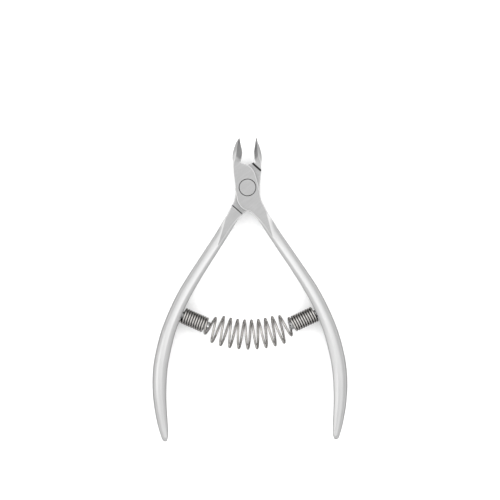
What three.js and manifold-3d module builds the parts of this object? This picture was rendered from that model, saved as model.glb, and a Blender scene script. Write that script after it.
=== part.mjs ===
// Cuticle nipper: two crossed levers turn on one flush rivet in a lap joint, and one coil spring,
// its ends wound on slotted screws in the handles, holds them open.
//
// Millimetres. +X right, +Y towards the jaw tips, +Z out of the rivet's head. The pivot axis is
// x = y = 0. Shapes are drawn about the plane where the two levers slide on each other, and the
// last group lifts them so that z = 0 is the ground back face of the joint.
//
// front lever: plate in front (+Z), handle on the right, jaw on the left.
// rear lever: plate behind (-Z), handle on the left, jaw on the right.

import * as THREE from "three";
import { mergeVertices } from "three/addons/utils/BufferGeometryUtils.js";
import Module from "manifold-3d";

const wasm = await Module();
wasm.setup();

// ---- Driving dimensions ----------------------------------------------------------------------

const JOINT_HALF = 3.2; // half thickness of the ground joint
const LAP_GAP = 0.04; // between the two plates
const SHOULDER_ANGLE = 42.5; // of the lap shoulders' normal, from +Y
const UPPER_SHOULDER = 7.45; // pivot axis to the shoulder under the jaw
const LOWER_SHOULDER = 8.1; // pivot axis to the shoulder over the handle

const TIP_Y = 17.3; // pivot axis to the jaw tips
const TIP_Z = 2.35;
const TIP_WIDTH = 0.25;
const HEEL_Y = 12.3; // where the cutting edge starts
const HEEL_Z = 3.95; // the edge's heel stands proud of the joint's front face
const JAW_ROOT_Y = 8; // where the joint's outline passes to the jaw
const LEFT_EDGE_ANGLE = 8.2; // each cutting edge to the centre line, nipper open
const RIGHT_EDGE_ANGLE = 10.5;
const RIDGE_Z = 2.2; // ridge between the jaw's side and its hollow bevel
const JAW_OVERLAP = 0.2; // how far the jaw's wedge starts inside the joint
const JAW_PROUD = 0.03; // how far it stands in front of the joint's faces there
const JAW_STATIONS = [0, 0.18, 0.3, 0.43, 0.55, 0.7, 0.84, 0.94, 0.985]; // from root to tip

const HEAD_RADIUS = 2.85;
const HEAD_DEPTH = 1.3;
const PIN_RADIUS = 2.0;
const TAIL_RADIUS = 2.4;
const TAIL_DEPTH = 0.9;
const RUNNING_CLEARANCE = 0.06;
const HEAD_CLEARANCE = 0.12;

const WIRE_RADIUS = 0.4;
const CLOSED_PITCH = 0.85;
const CLOSED_TURNS = 9.5;
const OPEN_TURNS = 11;
const CLOSED_COIL_RADIUS = 2.3; // to the wire's centre
const OPEN_COIL_RADIUS = 4.7;
const COIL_GROWTH = 6; // length of axis over which the coils widen
const COIL_PHASE = 1.32 * Math.PI; // turn of the wire at the middle of the spring
const WIRE_BREAK = 0.02; // half the gap, in turns, where the wire passes to the next node

const POST_X = 23; // foot of a spring screw, on the handle's inner face
const POST_Y = -44.2;
const POST_SLOPE = 24.5; // degrees that the screw leans, inwards and away from the jaws
const SCREW_RADIUS = 1.6;
const SCREW_NECK_RADIUS = 1.25; // the end that is screwed into the handle
const SCREW_NECK_LENGTH = 2.6;
const SCREW_NUB = 1.5; // how far the slotted end passes the closed coils
const SCREW_SLOT_WIDTH = 0.6;
const SCREW_SLOT_DEPTH = 0.8;
const SCREW_GAP = 0.3; // left round the screw in its blind hole

// Right handle, from the joint to its end: x, y of the centre line, half width across the view
// from the front, half depth along z, and squareness (2 is an ellipse).
const HANDLE = [
  [4.7, -9.2, 2.02, 3.1, 9],
  [8.15, -14.7, 2.08, 3.1, 8],
  [12.0, -20.5, 2.06, 3.12, 3.2],
  [17.0, -28.1, 2.14, 3.55, 2.4],
  [22.6, -37.3, 2.22, 4.13, 2.4],
  [27.2, -47, 2.4, 4.68, 2.4],
  [30.1, -56.6, 2.53, 4.95, 2.4],
  [31.45, -66, 2.46, 4.85, 2.4],
  [31.35, -75.5, 2.17, 4.38, 2.4],
  [30.35, -83, 1.75, 3.55, 2.4],
  [29.5, -87.8, 1.3, 2.7, 2.4],
];
const HANDLE_END = 0.024; // last part of the handle, where it is rounded over
const HANDLE_STATIONS = 34;
const HANDLE_SIDES = 24;

const SATIN = { color: 0xd6d8da, roughness: 0.38, metalness: 1 };
const GROUND = { color: 0xc2c4c6, roughness: 0.3, metalness: 1 };
const WIRE = { color: 0xa8a29c, roughness: 0.22, metalness: 1 };

// ---- Tools -----------------------------------------------------------------------------------

const radians = THREE.MathUtils.degToRad;
const lerp = THREE.MathUtils.lerp;

function solid(geometry) {
  const bare = new THREE.BufferGeometry().setAttribute("position", geometry.attributes.position.clone());
  if (geometry.index) bare.setIndex(geometry.index.clone());
  const merged = mergeVertices(bare, 1e-4);
  return new wasm.Manifold(
    new wasm.Mesh({
      numProp: 3,
      vertProperties: new Float32Array(merged.attributes.position.array),
      triVerts: new Uint32Array(merged.index.array),
    }),
  );
}

function geometryOf(body) {
  const { vertProperties, triVerts } = body.getMesh();
  const geometry = new THREE.BufferGeometry();
  geometry.setAttribute("position", new THREE.BufferAttribute(new Float32Array(vertProperties), 3));
  geometry.setIndex(new THREE.BufferAttribute(new Uint32Array(triVerts), 1));
  const flat = geometry.toNonIndexed();
  flat.computeVertexNormals();
  return flat;
}

function piece(name, geometry, finish) {
  const mesh = new THREE.Mesh(geometry, new THREE.MeshStandardMaterial(finish));
  mesh.name = name;
  return mesh;
}

function plate(shape, low, high) {
  const options = { depth: high - low, bevelEnabled: false, curveSegments: 3 };
  return new THREE.ExtrudeGeometry(shape, options).translate(0, 0, low);
}

// A closed skin through rings of points that run anticlockwise seen from the last ring.
function loft(rings) {
  const sides = rings[0].length;
  const centres = [rings[0], rings.at(-1)].map((ring) =>
    ring.reduce((sum, point) => sum.add(point), new THREE.Vector3()).divideScalar(sides),
  );
  const positions = [...rings.flat(), ...centres].flatMap((point) => point.toArray());
  const first = rings.length * sides;
  const faces = [];
  for (let j = 0; j < sides; j++) {
    const k = (j + 1) % sides;
    faces.push(first, k, j);
    faces.push(first + 1, first - sides + j, first - sides + k);
    for (let i = 0; i < rings.length - 1; i++) {
      const low = i * sides;
      const high = low + sides;
      faces.push(low + j, low + k, high + k);
      faces.push(low + j, high + k, high + j);
    }
  }
  const geometry = new THREE.BufferGeometry();
  geometry.setAttribute("position", new THREE.Float32BufferAttribute(positions, 3));
  return geometry.setIndex(faces);
}

// ---- Levers ----------------------------------------------------------------------------------

// Round forged handle. side is 1 for the handle on the right.
function handle(side) {
  const path = new THREE.CatmullRomCurve3(HANDLE.map(([x, y]) => new THREE.Vector3(x, y, 0)));
  const section = new THREE.CatmullRomCurve3(HANDLE.map(([, , ...sizes]) => new THREE.Vector3(...sizes)));
  const straight = 1 - HANDLE_END;
  const places = Array.from({ length: HANDLE_STATIONS }, (_, i) => (straight * i) / (HANDLE_STATIONS - 1));
  const end = [30, 55, 75, 88].map((angle) => straight + HANDLE_END * Math.sin(radians(angle)));
  const rings = [...places, ...end].map((t) => {
    const centre = path.getPoint(t);
    const along = path.getTangent(t);
    const { x: halfWidth, y: halfDepth, z: squareness } = section.getPoint(t);
    const shrink = Math.sqrt(1 - (Math.max(0, t - straight) / HANDLE_END) ** 2);
    const swell = (value) => Math.sign(value) * Math.abs(value) ** (2 / squareness) * shrink;
    return Array.from({ length: HANDLE_SIDES }, (_, j) => {
      const angle = (2 * Math.PI * (j + 0.5)) / HANDLE_SIDES;
      const across = swell(Math.cos(angle)) * halfWidth;
      const deep = swell(Math.sin(angle)) * halfDepth;
      return new THREE.Vector3(
        side * (centre.x - across * along.y),
        centre.y + across * along.x,
        side * deep,
      );
    });
  });
  return solid(loft(rings));
}

// The lever's outline from the jaw's root, round the joint, to the top of the handle.
function leverOutline(side) {
  const point = (x, y) => new THREE.Vector2(side * x, y);
  const shape = new THREE.Shape();
  shape.moveTo(-4.93 * side, JAW_ROOT_Y);
  shape.lineTo(-4.53 * side, 2.6);
  shape.lineTo(-4.27 * side, -1.5);
  shape.lineTo(-3.7 * side, -2.9);
  shape.splineThru([point(-3.3, -4.8), point(-1.63, -7.32), point(0, -8.1)]);
  shape.splineThru([point(1.8, -9.2), point(3.3, -10.7)]);
  shape.lineTo(4.6 * side, -12.2);
  shape.lineTo(7.4 * side, -11);
  shape.lineTo(7.0 * side, -9.3);
  shape.splineThru([point(5.66, -6.4), point(4.27, -1.8)]);
  shape.splineThru([point(3.4, 0.8), point(2.46, 4.96), point(0.5, 7.65)]);
  shape.lineTo(-2.2 * side, 8.75);
  shape.lineTo(-2.5 * side, JAW_ROOT_Y);
  return shape;
}

// The jaw: a wedge whose section has a cutting edge in front, a ridge, a side, and a sloping back.
function jaw(side, edgeAngle) {
  const rootY = JAW_ROOT_Y - JAW_OVERLAP;
  const lean = Math.tan(radians(edgeAngle));
  const outer = new THREE.SplineCurve([
    new THREE.Vector2(rootY, 4.98),
    new THREE.Vector2(10.3, 5.08),
    new THREE.Vector2(13, 4.72),
    new THREE.Vector2(15.8, 3.85),
    new THREE.Vector2(TIP_Y, TIP_Y * lean + TIP_WIDTH),
  ]);
  const rings = JAW_STATIONS.map((t) => {
    const [y, outerX] = outer.getPoint(t).toArray();
    const up = THREE.MathUtils.clamp((y - rootY) / (HEEL_Y - rootY), 0, 1);
    const forward = THREE.MathUtils.clamp((y - HEEL_Y) / (TIP_Y - HEEL_Y), 0, 1);
    const edgeX = y < HEEL_Y ? lerp(2.3, HEEL_Y * lean, up * up) : y * lean;
    const edgeZ = y < HEEL_Y ? lerp(JOINT_HALF + JAW_PROUD, HEEL_Z, up) : lerp(HEEL_Z, TIP_Z, forward);
    const backZ = lerp(JAW_PROUD - JOINT_HALF, TIP_Z, (y - rootY) / (TIP_Y - rootY));
    const width = outerX - edgeX;
    const ridgeX = lerp(edgeX, outerX, lerp(1, 0.6, up));
    const ridgeZ = lerp(JOINT_HALF + JAW_PROUD, RIDGE_Z, up * up);
    return [
      [edgeX, edgeZ],
      [ridgeX, Math.max(ridgeZ, backZ + 0.1)],
      [outerX, lerp(backZ, ridgeZ, 0.5)],
      [outerX - 0.04 * width, backZ],
      [edgeX + 0.2 * width * up, backZ],
    ].map(([x, z]) => new THREE.Vector3(-side * x, y, z));
  });
  if (side > 0) rings.forEach((ring) => ring.reverse());
  return solid(loft(rings));
}

// The strip between a lever's two shoulders, on the side of the lap where the other lever lies.
function lapStrip(side) {
  const reach = 20;
  const strip = new THREE.Shape([
    new THREE.Vector2(-reach, -LOWER_SHOULDER),
    new THREE.Vector2(reach, -LOWER_SHOULDER),
    new THREE.Vector2(reach, UPPER_SHOULDER),
    new THREE.Vector2(-reach, UPPER_SHOULDER),
  ]);
  const far = -side * (JOINT_HALF + 3);
  const near = (side * LAP_GAP) / 2;
  const slab = plate(strip, Math.min(far, near), Math.max(far, near));
  return solid(slab.rotateZ(side * radians(SHOULDER_ANGLE)));
}

function cylinderZ(radius, low, high, sides = 48) {
  const body = new THREE.CylinderGeometry(radius, radius, high - low, sides);
  return solid(body.rotateX(Math.PI / 2).translate(0, 0, (low + high) / 2));
}

// The rivet's seat: a running bore, and a sunk recess for its head in front or its tail behind.
function rivetSeat(side) {
  const outside = JOINT_HALF + 1;
  const bore = cylinderZ(PIN_RADIUS + RUNNING_CLEARANCE, -outside, outside);
  const headFloor = JOINT_HALF - HEAD_DEPTH - RUNNING_CLEARANCE;
  const tailFloor = JOINT_HALF - TAIL_DEPTH - RUNNING_CLEARANCE;
  if (side > 0) return bore.add(cylinderZ(HEAD_RADIUS + HEAD_CLEARANCE, headFloor, outside));
  return bore.add(cylinderZ(TAIL_RADIUS + RUNNING_CLEARANCE, -outside, -tailFloor));
}

// Turns a piece drawn along +Y so that it lies along the screw on one side.
function placeOnPost(geometry, side) {
  geometry.rotateZ(side * radians(90 + POST_SLOPE));
  return geometry.translate(side * POST_X, POST_Y, 0);
}

function lever(side, edgeAngle) {
  const blank = solid(plate(leverOutline(side), -JOINT_HALF, JOINT_HALF));
  const hole = new THREE.CylinderGeometry(
    SCREW_NECK_RADIUS + SCREW_GAP,
    SCREW_NECK_RADIUS + SCREW_GAP,
    SCREW_NECK_LENGTH + 2,
    24,
  ).translate(0, 1 - SCREW_NECK_LENGTH / 2 - SCREW_GAP, 0);
  return blank
    .add(jaw(side, edgeAngle))
    .add(handle(side))
    .subtract(lapStrip(side))
    .subtract(rivetSeat(side))
    .subtract(solid(placeOnPost(hole, side)));
}

// ---- Rivet and screws ------------------------------------------------------------------------

function rivet() {
  const profile = [
    [0, -JOINT_HALF],
    [TAIL_RADIUS, -JOINT_HALF],
    [TAIL_RADIUS, TAIL_DEPTH - JOINT_HALF],
    [PIN_RADIUS, TAIL_DEPTH - JOINT_HALF],
    [PIN_RADIUS, JOINT_HALF - HEAD_DEPTH],
    [HEAD_RADIUS, JOINT_HALF - HEAD_DEPTH],
    [HEAD_RADIUS, JOINT_HALF],
    [0, JOINT_HALF],
  ].map(([radius, z]) => new THREE.Vector2(radius, z));
  return new THREE.LatheGeometry(profile, 48).rotateX(Math.PI / 2);
}

function springScrew(side) {
  const top = CLOSED_TURNS * CLOSED_PITCH + SCREW_NUB;
  const profile = [
    [0, -SCREW_NECK_LENGTH],
    [SCREW_NECK_RADIUS, -SCREW_NECK_LENGTH],
    [SCREW_NECK_RADIUS, SCREW_GAP],
    [SCREW_RADIUS, SCREW_GAP],
    [SCREW_RADIUS, top - 0.2],
    [SCREW_RADIUS - 0.2, top],
    [0, top],
  ].map(([radius, y]) => new THREE.Vector2(radius, y));
  const slot = new THREE.BoxGeometry(SCREW_SLOT_WIDTH, 2 * SCREW_SLOT_DEPTH, 4 * SCREW_RADIUS);
  const body = solid(new THREE.LatheGeometry(profile, 24)).subtract(solid(slot.translate(0, top, 0)));
  return placeOnPost(geometryOf(body), side);
}

// ---- Spring ----------------------------------------------------------------------------------

// The spring's axis is a parabola between the screws that runs straight on along each of them.
const slope = Math.tan(radians(POST_SLOPE));
const closedLength = CLOSED_TURNS * CLOSED_PITCH + SCREW_GAP;
const archHalf = POST_X - closedLength * Math.cos(radians(POST_SLOPE));
const archY = POST_Y - closedLength * Math.sin(radians(POST_SLOPE));

function springAxis(x) {
  const inside = THREE.MathUtils.clamp(x, -archHalf, archHalf);
  const y = archY + (slope * (inside * inside - archHalf * archHalf)) / (2 * archHalf);
  const lean = (slope * inside) / archHalf;
  const point = new THREE.Vector3(x, y + lean * (x - inside), 0);
  return { point, up: new THREE.Vector3(-lean, 1, 0).normalize() };
}

class CoilWire extends THREE.Curve {
  constructor(from, to) {
    super();
    this.from = from;
    this.to = to;
    this.arcLengthDivisions = Math.ceil(60 * (to - from));
  }

  // turn is 0 at the middle of the spring.
  getPoint(t, target = new THREE.Vector3()) {
    const turn = lerp(this.from, this.to, t);
    const open = THREE.MathUtils.clamp(turn, -OPEN_TURNS / 2, OPEN_TURNS / 2);
    const closed = (turn - open) * CLOSED_PITCH * Math.cos(radians(POST_SLOPE));
    const { point, up } = springAxis((open * archHalf) / (OPEN_TURNS / 2) + closed);
    const inset = Math.max(0, archHalf - Math.abs(point.x));
    const growth = THREE.MathUtils.smoothstep(inset, 0, COIL_GROWTH);
    const radius = lerp(CLOSED_COIL_RADIUS, OPEN_COIL_RADIUS, growth);
    const angle = 2 * Math.PI * turn + COIL_PHASE;
    target.copy(point).addScaledVector(up, radius * Math.cos(angle));
    return target.setZ(radius * Math.sin(angle));
  }
}

function coils(from, to, stepsPerTurn) {
  const wire = new THREE.Shape();
  wire.absarc(0, 0, WIRE_RADIUS, 0, 2 * Math.PI);
  const steps = Math.ceil((to - from) * stepsPerTurn);
  const path = new CoilWire(from, to);
  return new THREE.ExtrudeGeometry(wire, { steps, extrudePath: path, bevelEnabled: false, curveSegments: 3 });
}

// ---- Assembly --------------------------------------------------------------------------------

const nipper = new THREE.Group();
const half = OPEN_TURNS / 2;
const last = half + CLOSED_TURNS - 0.25;
nipper.add(
  piece("front_lever", geometryOf(lever(1, LEFT_EDGE_ANGLE)), SATIN),
  piece("rear_lever", geometryOf(lever(-1, RIGHT_EDGE_ANGLE)), SATIN),
  piece("pivot_rivet", rivet(), GROUND),
  piece("left_spring_screw", springScrew(-1), GROUND),
  piece("right_spring_screw", springScrew(1), GROUND),
  piece("spring_left_coils", coils(-last, -half - WIRE_BREAK, 12), WIRE),
  piece("spring_centre_coils", coils(-half + WIRE_BREAK, half - WIRE_BREAK, 16), WIRE),
  piece("spring_right_coils", coils(half + WIRE_BREAK, last, 12), WIRE),
);
nipper.position.z = JOINT_HALF;

export default nipper;
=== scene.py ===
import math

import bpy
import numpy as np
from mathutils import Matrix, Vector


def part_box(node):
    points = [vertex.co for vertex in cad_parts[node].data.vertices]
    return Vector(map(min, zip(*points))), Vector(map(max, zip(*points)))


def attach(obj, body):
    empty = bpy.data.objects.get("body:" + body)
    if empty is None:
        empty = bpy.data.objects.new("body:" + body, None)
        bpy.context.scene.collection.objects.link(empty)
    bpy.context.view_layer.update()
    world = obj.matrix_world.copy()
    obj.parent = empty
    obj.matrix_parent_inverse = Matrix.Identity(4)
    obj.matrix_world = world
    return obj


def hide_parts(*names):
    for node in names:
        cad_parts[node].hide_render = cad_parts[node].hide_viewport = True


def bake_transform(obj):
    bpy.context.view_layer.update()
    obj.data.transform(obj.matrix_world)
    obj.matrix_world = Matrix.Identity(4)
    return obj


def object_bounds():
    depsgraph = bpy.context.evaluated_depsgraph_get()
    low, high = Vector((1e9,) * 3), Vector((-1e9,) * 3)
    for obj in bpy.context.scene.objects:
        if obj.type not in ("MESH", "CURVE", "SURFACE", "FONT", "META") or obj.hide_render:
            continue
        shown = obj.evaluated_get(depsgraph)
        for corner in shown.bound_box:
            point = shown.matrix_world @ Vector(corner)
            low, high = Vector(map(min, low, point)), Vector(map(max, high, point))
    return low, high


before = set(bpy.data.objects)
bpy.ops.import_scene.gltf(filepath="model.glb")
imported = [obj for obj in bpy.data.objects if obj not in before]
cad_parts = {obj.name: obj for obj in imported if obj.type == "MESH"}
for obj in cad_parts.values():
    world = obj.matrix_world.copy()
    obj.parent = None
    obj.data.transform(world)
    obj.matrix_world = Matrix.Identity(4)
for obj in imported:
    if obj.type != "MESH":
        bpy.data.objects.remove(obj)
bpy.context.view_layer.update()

# Cuticle nipper, open, lying flat. It is drawn in millimetres with z = 0 where the two levers slide
# on each other: +X right, +Y towards the jaw tips, +Z out of the rivet's head. `metres` turns that
# into the frame's own metres, where z = 0 is the joint's ground back face.

rivet_low, rivet_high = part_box("pivot_rivet")

# ---- Driving dimensions ----------------------------------------------------------------------

MM = 0.001

JOINT_HALF = (rivet_high.z - rivet_low.z) / 2 / MM  # half thickness of the ground joint
LAP_GAP = 0.04  # between the two plates
LAP_ANGLE = 42.5  # of the shoulders, from +X
UPPER_SHOULDER = 7.45  # pivot axis to the shoulder under the jaw
LOWER_SHOULDER = 8.1  # pivot axis to the shoulder over the handle
UPPER_WIDTH = 0.56  # of the shoulder's sloping wall, seen from the front as a dark bar
LOWER_WIDTH = 0.34
NOTCH = 5.3  # pivot axis to the plate's top corner, measured square to the shoulders too

FRONT_BEVEL = 0.30  # bright line along the joint's front edges
BACK_BEVEL = 0.55
BEVEL_SLOPE = 0.4  # a front bevel's depth over its width
THIN_BEVEL = 0.4  # a back bevel takes no more than this share of a thin plate

HANDLE_TIP = (29.6, -87.8)
END_START = -85.6  # the handle's end rounds over below this
FINE_START = -26.0  # above this the lines across the handle are closer together
FAN_START = -13.0  # above this they turn to the lap's angle
ROOT_Y = -7.8  # the handle's facet becomes the joint's bevel between this and FAN_START
V_START, V_END = -11.9, -15.6  # the ground side's V on the handle
FRONT_FLAT = (-9.8, -16.5)  # the ground front starts to narrow on the handle, and ends in a point
REAR_FLAT = (-11.6, -19.6)
FACET_SLOPE = 0.70  # depth over width of the flat facet along the handle's inner edge
CREST = (0.03, 0.12)  # share of the width left flat past the facet, at the ground front and below it
CREST_LENGTH = 9.0  # over which that share grows
OUTER_CORNER = 0.70  # of the half depth, taken by the rounded outer edge
CORNER_RATIO = 1.25  # that edge's greatest depth over its width

JAW_ROOT_Y = 8.9
TIP_Y = 17.25
TIP_Z = 2.35
TIP_START_Y = 16.2  # lines across the jaw are closer together above this
BACK_BEND_Y = 7.8  # where the jaw's back starts to slope up to the tip
BEVEL_GROWTH = (8.3, 11.2)  # the joint's narrow bevel widens into the jaw's tilted band
RELIEF = (8.8, 11.5)  # the back under the cutting edge is ground away
RELIEF_START = 0.74  # share of the width where that relief begins
RELIEF_DEPTH = 0.3  # share of the jaw's depth left under the edge
EDGE_LAND = 0.012
RIDGE_DROP = 0.05  # least share of the jaw's depth from the cutting edge down to the ridge,
BAND_DROP = 0.1  # from the ridge down to the side's front end,
SIDE_RISE = 0.35  # and from the back up to it
BACK_ROUND = 0.25  # the back's rounding takes no more than this share of the depth
BACK_LEFT = 0.3  # nor, on the outer side, more than this share of the width
BACK_RIGHT = 0.3  # width of that rounding at the root, on the cutting edge's side
HOLLOW_DEPTH = 0.07  # of the hollow bevel's curve
HOLLOW_FULL_Y = 15.5  # it flattens out between here and the tip
HOLLOW_START = (10.9, 9.3)  # lower end of the hollow bevel, at its ridge and at the cutting edge
HOLLOW_FADE = 0.45
JAW_DARKENING = (8.9, 10.6)  # the rest of the jaw turns darker between these heights

HEAD_RADIUS = 2.81
HEAD_DEPTH = 1.3
HEAD_BORE = 3.03
PIN_RADIUS = 2.0
PIN_BORE = 2.06
TAIL_RADIUS = 2.4
TAIL_BORE = 2.5
TAIL_DEPTH = 0.9
SEAT_GAP = 0.06  # under the head and the tail
RIVET_SOFT = 0.05  # chamfer round the head and the tail

WIRE_RADIUS = 0.40
WIRE_SIDES = 18
CLOSED_PITCH = 0.87
CLOSED_TURNS = 9.75
OPEN_TURNS = 11
CLOSED_COIL_RADIUS = 2.45  # to the wire's centre
OPEN_COIL_RADIUS = 4.9
COIL_GROWTH = 4.6  # length of axis over which the coils widen
COIL_PHASE = 1.32 * math.pi  # turn of the wire at the middle of the spring
CROPPED = 0.12  # of a turn, left off each end
WIRE_END = 0.8  # radius of a cropped end, as a share of the wire's
WIRE_END_LENGTH = 0.06  # over which the wire narrows to it
PAINTED_SHADE_COSINE = 0.68  # a closed coil's flanks, past this cosine from straight out, take painted shade: a dull, dark steel where the coils shade each other
PAINTED_SHADE_START = 0.3  # of a turn past the open coils, where that painted shade starts

POST_X, POST_Y = 23, -44.0  # foot of a spring screw, on the handle's inner face
POST_SLOPE = math.radians(24.5)
SCREW_RADIUS = 1.6
NECK_RADIUS = 1.25
NECK_LENGTH = 2.6  # screwed into the handle
NECK_TOP = 0.25  # the neck's end past the handle's inner face
SCREW_NUB = 1.5  # how far the slotted end passes the closed coils
SCREW_SOFT = 0.05  # chamfer at its foot
SCREW_ROUND = [(0, 0.28), (0.08, 0.1), (0.25, 0)]  # its end: how far in from the side and from the top
SLOT_WIDTH = 0.6
SLOT_DEPTH = 0.8


def metres(points):
    """Drawing millimetres to the frame's metres."""
    return (np.asarray(points, float) + (0, 0, JOINT_HALF)) * MM


# ---- Curves ----------------------------------------------------------------------------------

def spline(points, at=None, count=160):
    """A smooth curve through rows of numbers: dense points, or its rows where the first column is `at`."""
    rows = np.array(points, float)
    if at is not None:
        knots, fine = rows[:, 0], np.clip(at, rows[0, 0], rows[-1, 0])
    else:
        knots = np.r_[0, np.cumsum(np.linalg.norm(np.diff(rows, axis=0), axis=1) ** 0.5)]
        fine = np.linspace(0, knots[-1], count)
    slope = np.gradient(rows, knots, axis=0)
    i = np.clip(np.searchsorted(knots, fine, side="right") - 1, 0, len(knots) - 2)
    step = np.asarray(knots[i + 1] - knots[i])[..., None]
    s = np.asarray(fine - knots[i])[..., None] / step
    return (
        (1 + 2 * s) * (1 - s) ** 2 * rows[i]
        + s * (1 - s) ** 2 * step * slope[i]
        + s * s * (3 - 2 * s) * rows[i + 1]
        + s * s * (s - 1) * step * slope[i + 1]
    )


def value(table, at):
    """The second column of a table of two, where the first is `at`."""
    return float(spline(table, at=at)[1])


def ramp(at, start, end):
    """0 at start, 1 at end, straight between."""
    return min(max((at - start) / (end - start), 0), 1)


def ease(at, start, end):
    """0 at start, 1 at end, smooth between."""
    t = ramp(at, start, end)
    return t * t * (3 - 2 * t)


def lerp(a, b, t):
    return a + (b - a) * t


# ---- Lever outline ---------------------------------------------------------------------------
# Drawn for the front lever: handle on the right, jaw on the left. The rear one is its mirror
# image in x. Both rails run from the handle's end up to the jaw's tip.

PLATE_CORNER = (0.5, 7.65)
HANDLE_OUTER = [
    HANDLE_TIP, (30.2, -87.5), (30.72, -86.8), (31.06, -85.7), (31.64, -83.8), (33.0, -77.2),
    (33.74, -69.0), (33.4, -62.0), (32.42, -56.4), (30.5, -49.4), (27.7, -42.5), (24.2, -35.5),
    (19.83, -28.6), (15.2, -21.7), (10.53, -14.7), (8.4, -11.2), (7.08, -9.2), (5.66, -6.4),
    (4.91, -5.0), (4.5, -3.6), (4.27, -2.3),
]
PLATE_RIGHT = [
    (4.27, -2.3), (4.17, -1.2), (3.9, -0.1), (3.62, 1.2), (3.15, 3.1), (2.55, 5.0), (1.75, 6.45),
    PLATE_CORNER,
]
HANDLE_INNER = [
    HANDLE_TIP, (28.98, -87.4), (28.74, -86.7), (28.62, -85.7), (28.64, -83.8), (29.03, -77.2),
    (29.15, -71.0), (28.7, -63.3), (27.4, -56.4), (25.52, -49.4), (22.75, -42.5), (19.07, -35.5),
    (14.82, -28.6), (10.3, -21.7), (5.81, -14.7), (3.56, -11.2), (1.85, -9.25), (0.9, -8.45),
    (0, -8.1), (-0.83, -7.8), (-1.7, -7.35), (-2.45, -6.65), (-3.2, -5.5), (-3.6, -4.4),
    (-3.8, -3.2), (-4.05, -2.0), (-4.25, -0.9), (-4.33, 0.6), (-4.53, 2.6), (-4.8, 5.0),
    (-4.9, 6.8), (-4.95, 8.0),
]
JAW_OUTER = [
    (-4.95, 8.0), (-5.0, 8.9), (-5.09, 10.3), (-4.98, 11.7), (-4.7, 13.0), (-4.28, 14.4), (-3.75, 15.7),
]

# Against height: the angle of the lines across the lever, from +X.
ACROSS = [
    (-90, -12), (-84, -9), (-76, -4), (-68, 1.5), (-61, 8), (-52, 17), (-42, 25.5), (-33, 31.5),
    (-24, 33.5), (-15, 33.5), (-10.5, 37), (-7.7, LAP_ANGLE), (7.1, LAP_ANGLE),
]
# Against height: half the handle's depth, and its inner facet's share of its width.
DEPTH = [
    (-85.6, 2.95), (-84.1, 3.25), (-80.6, 3.8), (-73.7, 4.49), (-66.8, 4.82), (-59.8, 4.95),
    (-52.9, 4.87), (-45.9, 4.62), (-39.0, 4.2), (-32.1, 3.78), (-25.1, 3.36), (-21.7, 3.13),
    (-18.2, 3.08), (-15.5, 3.2), (-12, 3.2),
]
FACET = [(-87, 0.14), (-84, 0.22), (-76, 0.28), (-30, 0.28), (-20, 0.25), (-13, 0.2)]
# Against height: z of the jaw's cutting edge, of the hollow bevel's ridge and of its side's front end.
EDGE = [
    (7.0, 3.2), (8.8, 3.2), (9.6, 3.4), (10.5, 3.7), (11.4, 3.97), (12.3, 4.05), (13.4, 3.92),
    (14.5, 3.68), (15.5, 3.4), (16.5, 2.95), (17.3, 2.4),
]
RIDGE = [
    (7.0, 3.2), (8.8, 3.2), (9.6, 3.3), (10.5, 3.36), (12.3, 3.38), (14.4, 3.0), (16.4, 2.6),
    (17.3, 2.35),
]
SIDE_TOP = [
    (7.0, 3.08), (8.8, 3.08), (9.6, 2.95), (10.5, 2.75), (12.3, 2.45), (14.4, 2.2), (17.3, 2.3),
]


def outline(tip_x, heel_x, base_x):
    """The lever's left and right rails, as dense points from the handle's end to the jaw's tip."""
    outer_tip = [(-tip_x - 0.42, 16.8), (-tip_x - 0.1, TIP_Y + 0.02)]
    left = np.vstack([spline(HANDLE_INNER, count=900), spline(JAW_OUTER + outer_tip)])
    base = (-base_x, JAW_ROOT_Y)
    notch_line = np.array([PLATE_CORNER, (-1.7, 8.5), (-base_x + 0.25, 8.72), base])
    edge = [
        base, (lerp(-base_x, -heel_x, 0.35), 9.5), (lerp(-base_x, -heel_x, 0.86), 11.2),
        (-heel_x, 12.3), (lerp(-heel_x, -tip_x, 0.5), 14.8), (-tip_x, TIP_Y),
    ]
    right = np.vstack([spline(HANDLE_OUTER, count=800), spline(PLATE_RIGHT), notch_line, spline(edge)])
    return left, right


def distance_from_axis(points, angle):
    """How far points are from the pivot axis, square to a line at that angle."""
    turn = math.radians(angle)
    return points @ np.array([-math.sin(turn), math.cos(turn)])


def crossing(rail, angle, level):
    """Where a rail crosses the line at that angle whose distance from the axis is level."""
    distance = distance_from_axis(rail, angle)
    return np.array([np.interp(level, distance, rail[:, 0]), np.interp(level, distance, rail[:, 1])])


def at_height(rail, y):
    return np.array([np.interp(y, rail[:, 1], rail[:, 0]), y])


# ---- Sections of a lever ---------------------------------------------------------------------
# A section is a rounded rectangle between the rails. Each corner is an arc from a point on the side
# to a point on the front or back. u runs 0 to 1 from the left rail to the right one.

CORNER_STEPS = 13
FACE_STEPS = 8
SIDE_STEPS = 4

# A corner's power: near 1 it is a flat bevel, and 2 makes it an ellipse.
FACET_POWER = 1.1
BEVEL_POWER = 1.15
RELIEF_POWER = 1.2
SOFT_POWER = 1.8
ROUND_POWER = 2.0


def corner(start, end, power, turning):
    """Points on a corner's arc, ends left out. turning says which end is on the side."""
    steps = np.linspace(0, math.pi / 2, CORNER_STEPS + 1)[1:-1]
    c, s = np.cos(steps) ** (2 / power), np.sin(steps) ** (2 / power)
    (u0, z0), (u1, z1) = start, end
    if turning == "to_face":  # leaves along the side, arrives along the face
        return [(lerp(u0, u1, 1 - a), lerp(z0, z1, b)) for a, b in zip(c, s)]
    return [(lerp(u0, u1, b), lerp(z0, z1, 1 - a)) for a, b in zip(c, s)]


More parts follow.
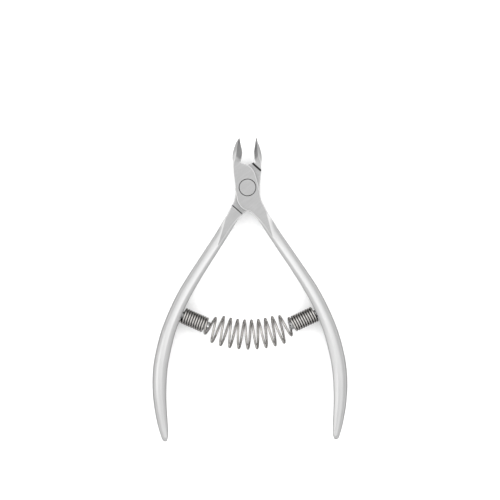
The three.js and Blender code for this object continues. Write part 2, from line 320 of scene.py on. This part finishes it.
def straight(start, end, steps, crown=0.0):
    """Points from start to end, both kept, with a crown (or, below 0, a hollow) along z."""
    t = np.linspace(0, 1, steps + 1)
    return [(lerp(start[0], end[0], a), lerp(start[1], end[1], a) + 4 * crown * a * (1 - a)) for a in t]


def ring(section):
    """All (u, z) points of a section, front face first, left to right, then down the right side."""
    s = section
    front = straight((s["front_left"], s["front_left_z"]), (s["front_right"], s["front_right_z"]),
                     FACE_STEPS, s.get("crown", 0.0))
    right = straight((1, s["right_top"]), (1, s["right_low"]), SIDE_STEPS)
    back = straight((s["back_right"], s["back_z"]), (s["back_left"], s["back_z"]), FACE_STEPS)
    left = straight((0, s["left_low"]), (0, s["left_top"]), SIDE_STEPS)
    back_left_power = s.get("back_left_power", s["back_power"])
    return (
        front
        + corner(front[-1], right[0], s["power"], "to_side")
        + right
        + corner(right[-1], back[0], s["back_power"], "to_face")
        + back
        + corner(back[-1], left[0], back_left_power, "to_side")
        + left
        + corner(left[-1], front[0], s["left_power"], "to_face")
    )


# The third finish number stands for painted shade: a dark steel on the shoulders' sloping walls and in the
# rivet's bores.
GROUND, SATIN, PAINTED_RECESS_SHADE, LATERAL = 0, 1, 2, 3


def ring_finish(front, back, side):
    """The finish of each face round a ring, in the order of its points. All corners are satin."""
    corner_faces = [SATIN] * CORNER_STEPS
    front_faces, back_faces, side_faces = [front] * FACE_STEPS, [back] * FACE_STEPS, [side] * SIDE_STEPS
    return (
        front_faces + corner_faces + side_faces + corner_faces
        + back_faces + corner_faces + side_faces + corner_faces
    )


def handle_section(v, width, flat_start, flat_end):
    """Forged handle that runs up into the ground joint."""
    depth = value(DEPTH, max(v, END_START))
    if v < END_START:
        past = (END_START - v) / (END_START - HANDLE_TIP[1])
        depth *= math.sqrt(max(0.0, 1 - past ** 2))
    flat = ramp(v, flat_end, flat_start)  # 1 where the front is ground flat right across
    vee = ramp(v, V_END, V_START)  # 1 where the outer side is ground
    root = ease(v, ROOT_Y, FAN_START)  # 0 where the handle meets the joint
    facet = lerp(FRONT_BEVEL, value(FACET, v) * width, root)
    drop = facet * lerp(BEVEL_SLOPE, FACET_SLOPE, root)
    crest = lerp(*CREST, ease(v, flat_end, flat_end - CREST_LENGTH))
    far = lerp(facet / width + crest, 1 - FRONT_BEVEL / width, flat)
    far_back = lerp(facet / width + crest, 1 - BACK_BEVEL / width, flat)
    least_back = 0.03  # of the width, flat at the back
    corner_depth = min(OUTER_CORNER * depth, CORNER_RATIO * (1 - far) * width)
    back = lerp(BACK_BEVEL, facet, root)
    return {
        "front_left": facet / width, "front_left_z": depth,
        "front_right": far, "front_right_z": depth,
        "back_left": back / width, "back_right": max(far_back, back / width + least_back),
        "back_z": -depth,
        "left_top": depth - drop, "left_low": lerp(BACK_BEVEL, drop, root) - depth,
        "right_top": depth - lerp(corner_depth, FRONT_BEVEL * BEVEL_SLOPE, vee),
        "right_low": lerp(corner_depth, BACK_BEVEL, vee) - depth,
        "power": lerp(ROUND_POWER, BEVEL_POWER, flat), "left_power": FACET_POWER,
        "back_power": lerp(ROUND_POWER, SOFT_POWER, flat),
        "back_left_power": lerp(SOFT_POWER, FACET_POWER, root),
    }


def joint_section(width, low, high):
    """Ground plate or full joint between the z of its back and of its front."""
    front, drop = FRONT_BEVEL / width, FRONT_BEVEL * BEVEL_SLOPE
    back = min(BACK_BEVEL, THIN_BEVEL * (high - low))
    return {
        "front_left": front, "front_left_z": high,
        "front_right": 1 - front, "front_right_z": high,
        "back_left": back / width, "back_right": 1 - back / width, "back_z": low,
        "left_top": high - drop, "left_low": low + back,
        "right_top": high - drop, "right_low": low + back,
        "power": BEVEL_POWER, "left_power": BEVEL_POWER, "back_power": SOFT_POWER,
    }


def jaw_section(y, width, ridge_share):
    """Jaw: cutting edge on the right, hollow bevel, ridge, tilted band, side, sloping back."""
    edge_z = value(EDGE, y)
    back_z = lerp(-JOINT_HALF, TIP_Z, ramp(y, BACK_BEND_Y, TIP_Y + 0.1))
    tall = edge_z - back_z
    grown = ease(y, *BEVEL_GROWTH)
    relief = ease(y, *RELIEF)
    ridge_z = min(value(RIDGE, y), edge_z - RIDGE_DROP * tall * grown)
    side_z = min(value(SIDE_TOP, y), ridge_z - BAND_DROP * tall * grown)
    side_z = max(side_z, back_z + SIDE_RISE * tall)
    back = min(BACK_BEVEL, BACK_ROUND * tall)
    sharp = lerp(FRONT_BEVEL, EDGE_LAND, relief)
    return {
        "front_left": lerp(FRONT_BEVEL / width, 1 - ridge_share, grown), "front_left_z": ridge_z,
        "front_right": 1 - sharp / width, "front_right_z": edge_z,
        "back_left": min(BACK_LEFT, 0.5 * back / width),
        "back_right": lerp(1 - BACK_RIGHT / width, RELIEF_START, relief), "back_z": back_z,
        "left_top": side_z, "left_low": back_z + back,
        "right_top": edge_z - sharp * BEVEL_SLOPE,
        "right_low": lerp(back_z + back, edge_z - RELIEF_DEPTH * tall, relief),
        "crown": -HOLLOW_DEPTH * grown * ramp(y, TIP_Y, HOLLOW_FULL_Y),
        "power": BEVEL_POWER, "left_power": BEVEL_POWER,
        "back_power": lerp(SOFT_POWER, RELIEF_POWER, relief),
    }


# ---- Lever -----------------------------------------------------------------------------------

# How many lines across the lever each stretch of it has, from the handle's end to the jaw's tip.
STEPS = {
    "end": 14, "handle": 90, "upper handle": 54, "root": 26, "lower wall": 8, "plate": 64,
    "notch": 14, "upper wall": 10, "neck": 40, "jaw": 34, "tip": 12,
}
END_CLOSE = 0.985  # how far round the end's quarter turn the first line is
WALL_STEP = 0.05  # between a wall's foot and the plate's next line
JOINT_STEP = 0.03  # between a wall's top and the joint's line


def stations(left, right):
    """Lines across the lever, from the handle's end to the jaw's tip: (zone, left, right, t).

    t is the line's height in the zones "handle" and "jaw", and how far across a "wall" it is, from
    the wall's foot to its top.
    """
    def handle(v):
        angle = value(ACROSS, v)
        centre = (at_height(left, v) + at_height(right, v)) / 2
        level = float(distance_from_axis(centre, angle))
        return "handle", crossing(left, angle, level), crossing(right, angle, level), v

    def lap(zone, level, t=0.0):
        return zone, crossing(left, LAP_ANGLE, level), crossing(right, LAP_ANGLE, level), t

    def fan(zone, start, end, steps):
        """Lines that turn from one to another, ends left out."""
        made = []
        for t in np.linspace(0, 1, steps + 1)[1:-1]:
            a = at_height(left, lerp(start[1][1], end[1][1], t))
            b = at_height(right, lerp(start[2][1], end[2][1], t))
            made.append((zone, a, b, 0.5 * (a[1] + b[1])))
        return made

    end_length = END_START - HANDLE_TIP[1]
    end_turns = np.linspace(math.pi / 2 * END_CLOSE, 0, STEPS["end"])[:-1]
    places = [handle(END_START - end_length * math.sin(t)) for t in end_turns]
    places += [handle(v) for v in np.linspace(END_START, FINE_START, STEPS["handle"])[:-1]]
    places += [handle(v) for v in np.linspace(FINE_START, FAN_START, STEPS["upper handle"])]

    lower = -LOWER_SHOULDER - LOWER_WIDTH / 2
    upper = UPPER_SHOULDER - UPPER_WIDTH / 2
    root = lap("joint", lower - JOINT_STEP)
    neck = lap("joint", upper + UPPER_WIDTH + JOINT_STEP)
    places += fan("handle", places[-1], root, STEPS["root"])
    places.append(root)
    places += [lap("wall", lower + LOWER_WIDTH * t, 1 - t) for t in np.linspace(0, 1, STEPS["lower wall"])]
    places += [lap("plate", c) for c in np.linspace(lower + LOWER_WIDTH + WALL_STEP, NOTCH, STEPS["plate"])]
    places += [lap("plate", c) for c in np.linspace(NOTCH, upper - WALL_STEP, STEPS["notch"])[1:]]
    places += [lap("wall", upper + UPPER_WIDTH * t, t) for t in np.linspace(0, 1, STEPS["upper wall"])]
    places.append(neck)

    heights = np.r_[
        np.linspace(BEVEL_GROWTH[1], TIP_START_Y, STEPS["jaw"]),
        np.linspace(TIP_START_Y, TIP_Y, STEPS["tip"])[1:],
    ]
    jaw = [("jaw", at_height(left, y), at_height(right, y), y) for y in heights]
    return places + fan("jaw", neck, jaw[0], STEPS["neck"]) + jaw


def wall_height(t):
    """How far a shoulder's wall has risen, 0 at its foot to 1 at its top, across its width t."""
    cubic = 0.55  # share of a cubic; the rest is an arc, which ends upright
    return cubic * t ** 3 + (1 - cubic) * (1 - math.sqrt(max(0.0, 1 - t * t)))


def jaw_weights(y, count):
    """1 on the jaw, 0 below it. The hollow bevel's lower end slants from its ridge to the cutting edge."""
    weights = [ease(y, *JAW_DARKENING)] * count
    for k in range(FACE_STEPS + 1):
        start = lerp(*HOLLOW_START, k / FACE_STEPS)
        weights[k] = ease(y, start - HOLLOW_FADE, start + HOLLOW_FADE)
    return weights


def lap_section(zone, t, width, side):
    """The joint's section: one plate of the lap, the full joint, or the wall between them."""
    rise = {"plate": 0.0, "joint": 1.0, "wall": wall_height(t)}[zone]
    low, high = -JOINT_HALF, JOINT_HALF
    if side > 0:
        low = lerp(LAP_GAP / 2, -JOINT_HALF, rise)
    else:
        high = lerp(-LAP_GAP / 2, JOINT_HALF, rise)
    return joint_section(width, low, high)


def build_lever(name, side, tip_x, heel_x, base_x, ridge_share, ground_flat):
    """side is 1 for the front lever and -1 for the rear one, its mirror image. The x are of the
    cutting edge's tip, its heel and the jaw's inner root, and ridge_share is the hollow bevel's
    share of the jaw's width."""
    left, right = outline(tip_x, heel_x, base_x)
    rings, finishes, jaw = [], [], []
    for zone, a, b, t in stations(left, right):
        width = float(np.linalg.norm(b - a))
        finish = ring_finish(GROUND, GROUND, LATERAL)
        if zone == "handle":
            section = handle_section(t, width, *ground_flat)
            face = GROUND if t > ground_flat[1] else SATIN
            finish = ring_finish(face, face, LATERAL if t > V_END else SATIN)
        elif zone == "jaw":
            section = jaw_section(t, width, ridge_share)
            finish = ring_finish(GROUND, SATIN, LATERAL)
        else:
            section = lap_section(zone, t, width, side)
            # A shoulder's sloping wall takes painted shade on its open face, darkening the bar in its
            # groove.
            if zone == "wall" and side > 0:
                finish = ring_finish(GROUND, PAINTED_RECESS_SHADE, LATERAL)
            elif zone == "wall":
                finish = ring_finish(PAINTED_RECESS_SHADE, GROUND, LATERAL)
        points = []
        for u, z in ring(section):
            x, y = a + (b - a) * u
            points.append((side * x, y, z))
        rings.append(points)
        finishes.append(finish)
        jaw += jaw_weights(t, len(points)) if zone == "jaw" else [0.0] * len(points)
    lever = skin(name, rings, finishes, side)
    jaw += [0.0] * (len(lever.data.vertices) - len(jaw))
    lever.data.attributes.new("jaw", "FLOAT", "POINT").data.foreach_set("value", jaw)
    return lever


# ---- Meshes ----------------------------------------------------------------------------------

def add_mesh(name, points, faces):
    mesh = bpy.data.meshes.new(name)
    mesh.from_pydata([tuple(p) for p in points], [], faces)
    mesh.update()
    obj = bpy.data.objects.new(name, mesh)
    bpy.context.scene.collection.objects.link(obj)
    return obj


def move_points(obj, change):
    """Passes all of a piece's points through a function."""
    points = np.zeros(len(obj.data.vertices) * 3)
    obj.data.vertices.foreach_get("co", points)
    obj.data.vertices.foreach_set("co", change(points.reshape(-1, 3)).ravel())
    obj.data.update()


def skin(name, rings, finishes, side):
    """A closed mesh through rings of points in millimetres, with one finish index a face."""
    count = len(rings[0])
    points = [p for ring_points in rings for p in ring_points]
    faces, indices = [], []
    for i in range(len(rings) - 1):
        for j in range(count):
            k = (j + 1) % count
            quad = (i * count + j, i * count + k, (i + 1) * count + k, (i + 1) * count + j)
            faces.append(quad if side > 0 else quad[::-1])
            indices.append(finishes[i][j])
    for end, flip in ((0, False), (len(rings) - 1, True)):
        middle = len(points)
        points.append(tuple(np.mean(rings[end], axis=0)))
        for j in range(count):
            k = (j + 1) % count
            tri = (end * count + k, end * count + j, middle)
            faces.append(tri[::-1] if flip != (side < 0) else tri)
            indices.append(finishes[end][j])
    obj = add_mesh(name, metres(points), faces)
    obj.data.polygons.foreach_set("material_index", indices)
    return obj


def lathe(name, profile, sides=96):
    """A closed turned piece about z, from (radius, z) rows that start and end on the axis."""
    points, faces = [], []
    rows = profile[1:-1]
    for radius, z in rows:
        for j in range(sides):
            t = 2 * math.pi * j / sides
            points.append((radius * math.cos(t), radius * math.sin(t), z))
    low, high = len(points), len(points) + 1
    points += [(0, 0, profile[0][1]), (0, 0, profile[-1][1])]
    last = (len(rows) - 1) * sides
    for j in range(sides):
        k = (j + 1) % sides
        faces.append((low, k, j))
        faces.append((high, last + j, last + k))
        for i in range(len(rows) - 1):
            faces.append((i * sides + j, i * sides + k, (i + 1) * sides + k, (i + 1) * sides + j))
    return add_mesh(name, points, faces)


def cut(obj, cutter):
    """Takes cutter out of obj and removes cutter. New faces keep the cutter's material number."""
    change = obj.modifiers.new("cut", "BOOLEAN")
    change.operation = "DIFFERENCE"
    change.solver = "EXACT"
    change.object = cutter
    change.material_mode = "INDEX"
    graph = bpy.context.evaluated_depsgraph_get()
    mesh = bpy.data.meshes.new_from_object(obj.evaluated_get(graph))
    obj.modifiers.clear()
    obj.data = mesh
    bpy.data.objects.remove(cutter)


def shade(obj, angle=16):
    """Smooth shading that keeps edges sharper than the angle."""
    obj.data.shade_smooth()
    obj.data.set_sharp_from_angle(angle=math.radians(angle))


# ---- Rivet and screws ------------------------------------------------------------------------

def build_rivet():
    face, edge = JOINT_HALF, JOINT_HALF - RIVET_SOFT
    rivet = lathe("pivot_rivet_flush", [
        (0, -face), (TAIL_RADIUS - RIVET_SOFT, -face), (TAIL_RADIUS, -edge),
        (TAIL_RADIUS, TAIL_DEPTH - face), (PIN_RADIUS, TAIL_DEPTH - face),
        (PIN_RADIUS, face - HEAD_DEPTH), (HEAD_RADIUS, face - HEAD_DEPTH),
        (HEAD_RADIUS, edge), (HEAD_RADIUS - RIVET_SOFT, face), (0, face),
    ])
    move_points(rivet, metres)
    return rivet


def rivet_bore(side):
    """What the rivet's hole takes out of a lever: the front's round the head, the rear's round the tail."""
    far = JOINT_HALF + 1  # past the joint's faces
    if side > 0:
        low_radius, high_radius, seat = PIN_BORE, HEAD_BORE, JOINT_HALF - HEAD_DEPTH - SEAT_GAP
    else:
        low_radius, high_radius, seat = TAIL_BORE, PIN_BORE, TAIL_DEPTH + SEAT_GAP - JOINT_HALF
    cutter = lathe("bore", [
        (0, -far), (low_radius, -far), (low_radius, seat),
        (high_radius, seat), (high_radius, far), (0, far),
    ])
    move_points(cutter, metres)
    return cutter


def slot_cutter(top):
    """A box across a screw's end."""
    half, reach = SLOT_WIDTH / 2, 3 * SCREW_RADIUS
    corners = [
        (x, y, z) for x in (-reach, reach) for y in (-half, half) for z in (top - SLOT_DEPTH, top + 1)
    ]
    faces = [(0, 1, 3, 2), (4, 6, 7, 5), (0, 4, 5, 1), (2, 3, 7, 6), (0, 2, 6, 4), (1, 5, 7, 3)]
    return add_mesh("slot", corners, faces)


def build_screw(name, side):
    """Turned upright, slotted, then laid down pointing in from the handle on that side."""
    top = CLOSED_TURNS * CLOSED_PITCH + SCREW_NUB
    neck = [
        (0, -NECK_LENGTH), (NECK_RADIUS, -NECK_LENGTH), (NECK_RADIUS, NECK_TOP),
        (SCREW_RADIUS - SCREW_SOFT, NECK_TOP), (SCREW_RADIUS, NECK_TOP + SCREW_SOFT),
    ]
    rounding = [(SCREW_RADIUS - inwards, top - down) for inwards, down in SCREW_ROUND]
    screw = lathe(name, neck + rounding + [(0, top)], sides=64)
    cut(screw, slot_cutter(top))

    def lay_down(points):
        x, y, z = points.T
        along = np.array([-math.cos(POST_SLOPE) * side, -math.sin(POST_SLOPE), 0])
        across = np.array([-along[1], along[0], 0])
        laid = np.outer(z, along) + np.outer(y, across) + np.outer(x, (0, 0, 1))
        return metres(laid + (side * POST_X, POST_Y, 0))

    move_points(screw, lay_down)
    if side > 0:
        screw.data.flip_normals()
        screw.data.update()
    return screw


# ---- Spring ----------------------------------------------------------------------------------
# Its axis is a sagging arch between two straight ends, one on each screw.

def spring_axis(x):
    """Where the spring's axis is at x, the direction square to it, and half the arch's span."""
    slope = math.tan(POST_SLOPE)
    closed = CLOSED_TURNS * CLOSED_PITCH
    arch_half = POST_X - closed * math.cos(POST_SLOPE)
    arch_y = POST_Y - closed * math.sin(POST_SLOPE)
    inside = min(max(x, -arch_half), arch_half)
    lean = slope * inside / arch_half
    y = arch_y + slope * (inside * inside - arch_half * arch_half) / (2 * arch_half)
    return (x, y + lean * (x - inside)), (-lean, 1.0), arch_half


def wire_point(turn):
    """The wire's centre, where turn is 0 at the middle of the spring."""
    half = OPEN_TURNS / 2
    opened = min(max(turn, -half), half)
    arch_half = spring_axis(0)[2]
    x = opened * arch_half / half + (turn - opened) * CLOSED_PITCH * math.cos(POST_SLOPE)
    (px, py), (ux, uy), _ = spring_axis(x)
    grown = ease(arch_half - abs(x), 0, COIL_GROWTH)
    radius = lerp(CLOSED_COIL_RADIUS, OPEN_COIL_RADIUS, grown)
    angle = 2 * math.pi * turn + COIL_PHASE
    reach = radius * math.cos(angle) / math.hypot(ux, uy)
    return np.array([px + ux * reach, py + uy * reach, radius * math.sin(angle)])


# The spring's finish numbers: plain wire, and painted shade on the closed coils' flanks.
WIRE, WIRE_PAINTED_SHADE = 0, 1


def build_spring():
    half = OPEN_TURNS / 2
    last = half + CLOSED_TURNS - CROPPED
    closed_step, open_step = 1 / 30, 1 / 44  # of a turn, between rings of points
    turns = np.r_[
        np.arange(-last, -half, closed_step), np.arange(-half, half, open_step),
        np.arange(half, last, closed_step), last,
    ]
    centres = np.array([wire_point(t) for t in turns])
    ahead = np.gradient(centres, axis=0)
    ahead /= np.linalg.norm(ahead, axis=1)[:, None]
    # Faces on a closed coil's flanks take the painted shade.
    flank = [math.cos(2 * math.pi * (j + 0.5) / WIRE_SIDES) < PAINTED_SHADE_COSINE for j in range(WIRE_SIDES)]
    rings, finishes = [], []
    for centre, along, turn in zip(centres, ahead, turns):
        axis_x, axis_y = spring_axis(centre[0])[0]
        out = centre - np.array([axis_x, axis_y, 0])
        out -= along * (out @ along)
        out /= np.linalg.norm(out)
        across = np.cross(along, out)
        closed = abs(turn) > half + PAINTED_SHADE_START
        finishes.append([WIRE_PAINTED_SHADE if closed and hidden else WIRE for hidden in flank])
        rings.append([
            centre + WIRE_RADIUS * (out * math.cos(t) + across * math.sin(t))
            for t in np.linspace(0, 2 * math.pi, WIRE_SIDES, endpoint=False)
        ])

    def rounded_end(end, step):
        """A smaller ring just past a cropped end of the wire."""
        centre = np.mean(rings[end], axis=0)
        return [centre + (p - centre) * WIRE_END + ahead[end] * step for p in rings[end]]

    first_cap = rounded_end(0, -WIRE_END_LENGTH)
    last_cap = rounded_end(-1, WIRE_END_LENGTH)
    plain = [[WIRE] * WIRE_SIDES]
    return skin("coil_spring", [first_cap] + rings + [last_cap], plain + finishes + plain, 1)


# ---- Materials -------------------------------------------------------------------------------

FINE_SHARE = 0.65  # of the fine grain, in its mix with a broader one
BROAD_SCALE = 0.035  # of the broad grain, over the fine one's
MIX_RANGE = (0.3, 0.7)  # of that mix, from the dark colour to the light one
BUMP_DEPTH = 0.00002
STREAK = 8  # a brushed grain's length over its width


def grey(level, warm=0.0):
    return (level * (1 + warm), level, level * (1 - warm))


def new_material(name):
    material = bpy.data.materials.new(name)
    material.use_nodes = True
    nodes = material.node_tree.nodes
    return material, nodes, material.node_tree.links, nodes["Principled BSDF"]


def colour_ramp(nodes, stops):
    """A ramp through (position, colour) stops."""
    node = nodes.new("ShaderNodeValToRGB")
    while len(node.color_ramp.elements) < len(stops):
        node.color_ramp.elements.new(0.5)
    for element, (at, colour) in zip(node.color_ramp.elements, stops):
        element.position = at
        element.color = (*colour, 1)
    return node


def noise(nodes, links, place, scale, detail, brushed=None):
    """Noise in the object's own space. brushed is the angle of its streaks, where it has them."""
    node = nodes.new("ShaderNodeTexNoise")
    node.inputs["Scale"].default_value = scale
    node.inputs["Detail"].default_value = detail
    if brushed is not None:
        mapping = nodes.new("ShaderNodeMapping")
        mapping.vector_type = "TEXTURE"  # turned before it is stretched
        mapping.inputs["Scale"].default_value = (1, STREAK, 1)
        mapping.inputs["Rotation"].default_value = (0, 0, math.radians(brushed))
        links.new(place, mapping.inputs["Vector"])
        place = mapping.outputs["Vector"]
    links.new(place, node.inputs["Vector"])
    return node.outputs["Fac"]


def steel(name, light, dark, roughness, rough_spread, grain, bump, brushed=None, edge=1.0):
    """Metal with a fine grain in colour, roughness and height. edge is its colour at grazing angles."""
    material, nodes, links, shader = new_material(name)
    place = nodes.new("ShaderNodeTexCoord").outputs["Object"]
    fine = noise(nodes, links, place, grain, 3.0, brushed)
    broad = noise(nodes, links, place, grain * BROAD_SCALE, 2.0)
    fine_part = nodes.new("ShaderNodeMath")
    fine_part.operation = "MULTIPLY"
    fine_part.inputs[1].default_value = FINE_SHARE
    links.new(fine, fine_part.inputs[0])
    mix = nodes.new("ShaderNodeMath")
    mix.operation = "MULTIPLY_ADD"
    mix.inputs[1].default_value = 1 - FINE_SHARE
    links.new(broad, mix.inputs[0])
    links.new(fine_part.outputs[0], mix.inputs[2])
    colour = colour_ramp(nodes, [(MIX_RANGE[0], dark), (MIX_RANGE[1], light)])
    links.new(mix.outputs[0], colour.inputs["Fac"])
    links.new(colour.outputs["Color"], shader.inputs["Base Color"])
    rough = nodes.new("ShaderNodeMapRange")
    rough.inputs["To Min"].default_value = roughness - rough_spread
    rough.inputs["To Max"].default_value = roughness + rough_spread
    links.new(mix.outputs[0], rough.inputs["Value"])
    links.new(rough.outputs["Result"], shader.inputs["Roughness"])
    relief = nodes.new("ShaderNodeBump")
    relief.inputs["Strength"].default_value = bump
    relief.inputs["Distance"].default_value = BUMP_DEPTH
    links.new(fine, relief.inputs["Height"])
    links.new(relief.outputs["Normal"], shader.inputs["Normal"])
    shader.inputs["Metallic"].default_value = 1.0
    shader.inputs["Specular Tint"].default_value = (edge, edge, edge, 1)
    return material


def darken_jaw(material, tone):
    """Multiplies the colour by tone where the mesh's jaw attribute is 1: painted shade on the hollow bevel,
    and a darker tone over the rest of the jaw.
    """
    nodes, links = material.node_tree.nodes, material.node_tree.links
    colour = nodes["Principled BSDF"].inputs["Base Color"]
    mix = nodes.new("ShaderNodeMix")
    mix.data_type = "RGBA"
    mix.blend_type = "MULTIPLY"
    factor, first, second = (mix.inputs[i] for i in (0, 6, 7))  # those of the RGBA kind
    weight = nodes.new("ShaderNodeAttribute")
    weight.attribute_name = "jaw"
    links.new(weight.outputs["Fac"], factor)
    links.new(colour.links[0].from_socket, first)
    second.default_value = (tone, tone, tone, 1)
    links.new(mix.outputs[2], colour)


def pale_floor():
    """Matt white paper with a faint tooth."""
    material, nodes, links, shader = new_material("floor_paper")
    place = nodes.new("ShaderNodeTexCoord").outputs["Object"]
    colour = colour_ramp(nodes, [(MIX_RANGE[0], grey(0.90)), (MIX_RANGE[1], grey(0.93))])
    links.new(noise(nodes, links, place, 900, 2.0), colour.inputs["Fac"])
    links.new(colour.outputs["Color"], shader.inputs["Base Color"])
    shader.inputs["Roughness"].default_value = 0.95
    shader.inputs["Specular IOR Level"].default_value = 0.1
    return material


satin = steel("satin_steel", grey(0.395), grey(0.355), roughness=0.38, rough_spread=0.05,
              grain=5200, bump=0.35, edge=0.15)
ground = steel("ground_steel", grey(0.235), grey(0.197), roughness=0.34, rough_spread=0.06,
               grain=2600, bump=0.4, brushed=-52)
lateral = steel("lateral_ground_steel", grey(0.15), grey(0.12), roughness=0.36, rough_spread=0.06,
                grain=2600, bump=0.4, brushed=8)
# Painted shade: a dark steel for the shoulders' walls and the rivet's bores, where shade falls.
painted_recess_shade = steel("recess_painted_shade_steel", grey(0.12), grey(0.08), roughness=0.7, rough_spread=0.05,
               grain=2600, bump=0.3)
wire = steel("spring_wire", grey(0.33, 0.035), grey(0.26, 0.035), roughness=0.16, rough_spread=0.04,
             grain=3000, bump=0.15, edge=0.2)
# Painted shade: near-black steel for the closed coils' flanks, where the coils shade each other.
painted_shade_wire = steel("spring_wire_painted_shade", grey(0.04, 0.05), grey(0.02, 0.05), roughness=0.5, rough_spread=0.05,
                grain=3000, bump=0.15)
# Painted shade on the hollow bevel, and a darker tone on the rest of the jaw.
darken_jaw(ground, 0.58)
darken_jaw(satin, 0.82)

# ---- Pieces ----------------------------------------------------------------------------------


def add_materials(obj, *materials):
    for material in materials:
        obj.data.materials.append(material)


front_lever = build_lever("front_lever_forged", side=1, tip_x=2.57, heel_x=1.70, base_x=2.42,
                          ridge_share=0.61, ground_flat=FRONT_FLAT)
rear_lever = build_lever("rear_lever_forged", side=-1, tip_x=3.12, heel_x=2.43, base_x=2.76,
                         ridge_share=0.50, ground_flat=REAR_FLAT)
for lever, side, body, node in (
    (front_lever, 1, "front", "front_lever"), (rear_lever, -1, "rear", "rear_lever"),
):
    bore = rivet_bore(side)
    for piece in (lever, bore):
        add_materials(piece, ground, satin, painted_recess_shade, lateral)  # in the order of the finish numbers
    # The bore's faces, left round the rivet after the cut, carry the painted shade.
    bore.data.polygons.foreach_set("material_index", [PAINTED_RECESS_SHADE] * len(bore.data.polygons))
    cut(lever, bore)
    shade(lever)
    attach(lever, body)
    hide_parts(node)

rivet = build_rivet()
add_materials(rivet, ground)
shade(rivet)
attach(rivet, "rear")
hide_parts("pivot_rivet")

for name, side, body in (("left_screw_slotted", -1, "rear"), ("right_screw_slotted", 1, "front")):
    screw = build_screw(name, side)
    screw.data.materials.clear()
    add_materials(screw, ground)
    shade(screw)
    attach(screw, body)
    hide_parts(name.split("_")[0] + "_spring_screw")

spring = build_spring()
add_materials(spring, wire, painted_shade_wire)
spring.data.shade_smooth()
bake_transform(spring)
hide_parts("spring_left_coils", "spring_centre_coils", "spring_right_coils")

# ---- Floor, lights and camera, in metres -----------------------------------------------------

FRAME_CENTRE = Vector((0.6, -21.65, JOINT_HALF)) * MM
FRAME_WIDTH = 0.1735
CAMERA_TURN = -0.7
LENS, SENSOR = 200, 36

FLOOR_HALF = 1.2
FLOOR_GAP = 0.0001  # under the lowest piece

KEY_RADIANCE = 1.3
LEFT_RADIANCE = 1.4
# The studio's radiance against height, 0 at the horizon and 1 overhead.
DOME = [(0.0, 0.7), (0.3, 1.25), (0.55, 2.0), (0.8, 2.2), (1.0, 1.42)]


def build_floor():
    half, z = FLOOR_HALF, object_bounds()[0].z - FLOOR_GAP
    floor = add_mesh("floor", [(-half, -half, z), (half, -half, z), (half, half, z), (-half, half, z)],
                     [(0, 1, 2, 3)])
    add_materials(floor, pale_floor())


def area_light(name, place, target, size, radiance):
    """A square light as bright, seen from the front, as a dome of that radiance."""
    data = bpy.data.lights.new(name, "AREA")
    data.shape = "SQUARE"
    data.size = size
    data.energy = math.pi * size * size * radiance
    light = bpy.data.objects.new(name, data)
    light.location = place
    light.rotation_euler = (Vector(target) - Vector(place)).to_track_quat("-Z", "Y").to_euler()
    bpy.context.scene.collection.objects.link(light)


def build_dome():
    """The pale studio all round, brightest well above the horizon."""
    world = bpy.data.worlds.new("studio")
    bpy.context.scene.world = world
    world.use_nodes = True
    nodes, links = world.node_tree.nodes, world.node_tree.links
    height = nodes.new("ShaderNodeSeparateXYZ")
    links.new(nodes.new("ShaderNodeTexCoord").outputs["Generated"], height.inputs[0])
    dome = colour_ramp(nodes, [(at, grey(radiance)) for at, radiance in DOME])
    links.new(height.outputs["Z"], dome.inputs["Fac"])
    links.new(dome.outputs["Color"], nodes["Background"].inputs["Color"])


def build_camera():
    """Straight above, far enough to see the front almost without perspective."""
    data = bpy.data.cameras.new("camera")
    data.lens = LENS
    data.sensor_width = SENSOR
    camera = bpy.data.objects.new("camera", data)
    camera.location = FRAME_CENTRE + Vector((0, 0, FRAME_WIDTH * LENS / SENSOR))
    camera.rotation_euler = (0, 0, math.radians(CAMERA_TURN))
    bpy.context.scene.collection.objects.link(camera)
    bpy.context.scene.camera = camera
    bpy.context.scene.view_settings.view_transform = "Standard"


build_floor()
area_light("key_box", place=(0, 0.04, 0.3), target=(0, 0.04, 0), size=0.22, radiance=KEY_RADIANCE)
area_light("left_box", place=(-1.0, 0.0, 0.42), target=FRAME_CENTRE, size=0.6, radiance=LEFT_RADIANCE)
build_dome()
build_camera()
